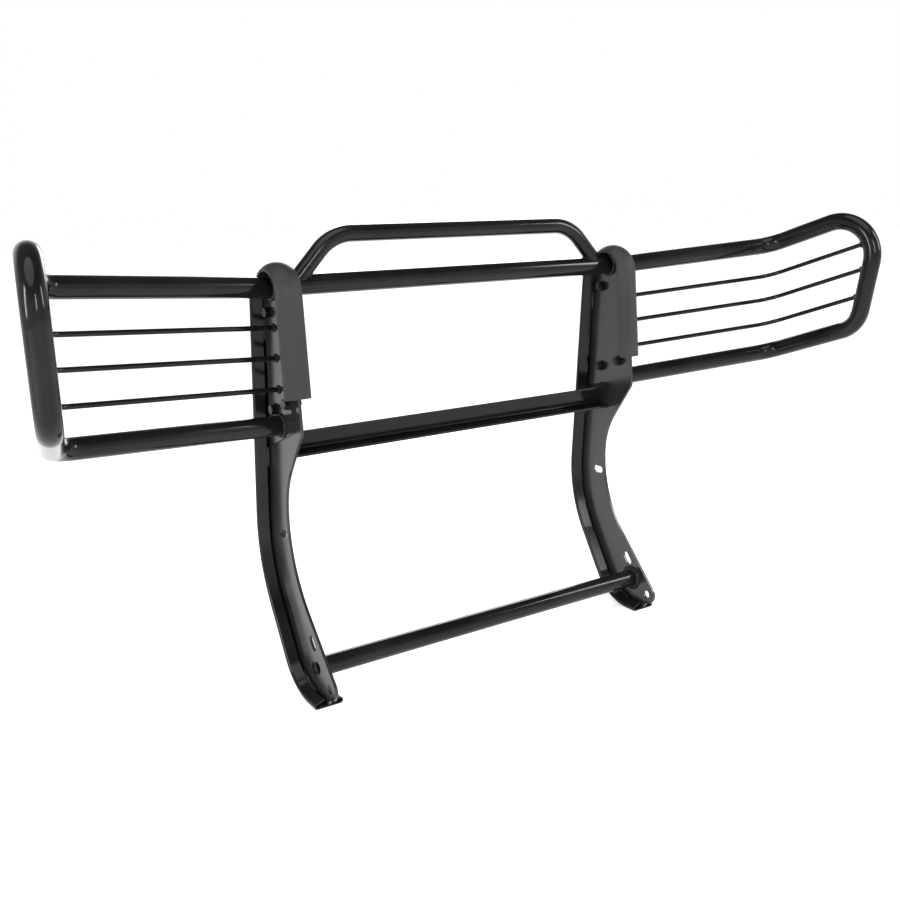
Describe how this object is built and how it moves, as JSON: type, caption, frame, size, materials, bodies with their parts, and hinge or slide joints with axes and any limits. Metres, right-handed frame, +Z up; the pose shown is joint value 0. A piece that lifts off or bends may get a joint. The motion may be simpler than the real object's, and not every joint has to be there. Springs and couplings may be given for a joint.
{
  "type": "grille guard",
  "caption": "Welded steel grille guard for a pickup truck with upright channels, crossbars, a centre hoop and wraparound headlight wings.",
  "frame": {"origin": "ground level under the middle of the whole guard, the centre of its box's bottom face", "axes": "+X across the vehicle, +Y forward, away from the vehicle, +Z up, with the guard standing on its toes"},
  "size_m": [1.8144, 0.448, 0.8869],
  "materials": {
    "black_coat": "gloss black powder coat",
    "pad_rubber": "matte moulded rubber",
    "black_hardware": "black zinc fasteners"
  },
  "bodies": {
    "root": {"upper_crossbar": "black_coat", "center_hoop": "black_coat", "mid_crossbar": "black_coat", "lower_crossbar": "black_coat", "left_upright_plate": "black_coat", "right_upright_plate": "black_coat", "left_upright_channel": "black_coat", "right_upright_channel": "black_coat", "left_wing_tube": "black_coat", "right_wing_tube": "black_coat", "left_wing_rod_upper": "black_coat", "right_wing_rod_upper": "black_coat", "left_wing_rod_middle": "black_coat", "right_wing_rod_middle": "black_coat", "left_wing_rod_lower": "black_coat", "right_wing_rod_lower": "black_coat", "left_wing_bracket": "black_coat", "right_wing_bracket": "black_coat", "left_rubber_pad": "pad_rubber", "right_rubber_pad": "pad_rubber", "left_wing_bolts": "black_hardware", "right_wing_bolts": "black_hardware", "left_wing_washers": "black_hardware", "right_wing_washers": "black_hardware", "left_wing_nuts": "black_hardware", "right_wing_nuts": "black_hardware"}
  },
  "joints": []
}
